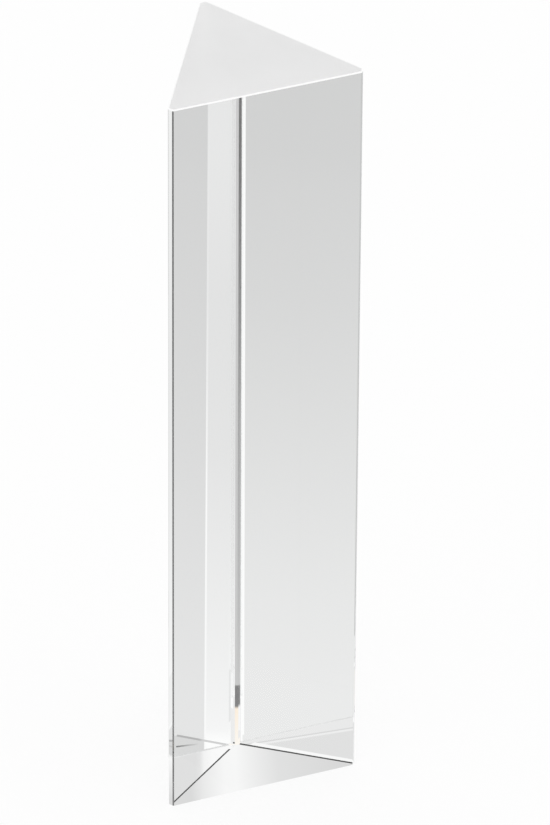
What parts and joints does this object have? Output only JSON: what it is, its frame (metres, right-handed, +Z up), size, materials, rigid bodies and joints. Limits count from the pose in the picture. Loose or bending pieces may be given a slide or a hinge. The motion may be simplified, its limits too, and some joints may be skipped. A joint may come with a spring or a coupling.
{
  "type": "optical prism",
  "caption": "Tall triangular block of clear dense flint glass with polished sides, fine-ground ends and ground edge flats; bends light and spreads it into colours.",
  "frame": {"origin": "middle of the lower ground end, at the centroid of the triangular section", "axes": "+Z up the length of the block, -Y out of the polished face opposite the apex edge, +X along that face"},
  "size_m": [0.0242, 0.021, 0.1],
  "materials": {
    "flint_glass": "polished"
  },
  "bodies": {
    "root": {"prism": "flint_glass"}
  },
  "joints": []
}
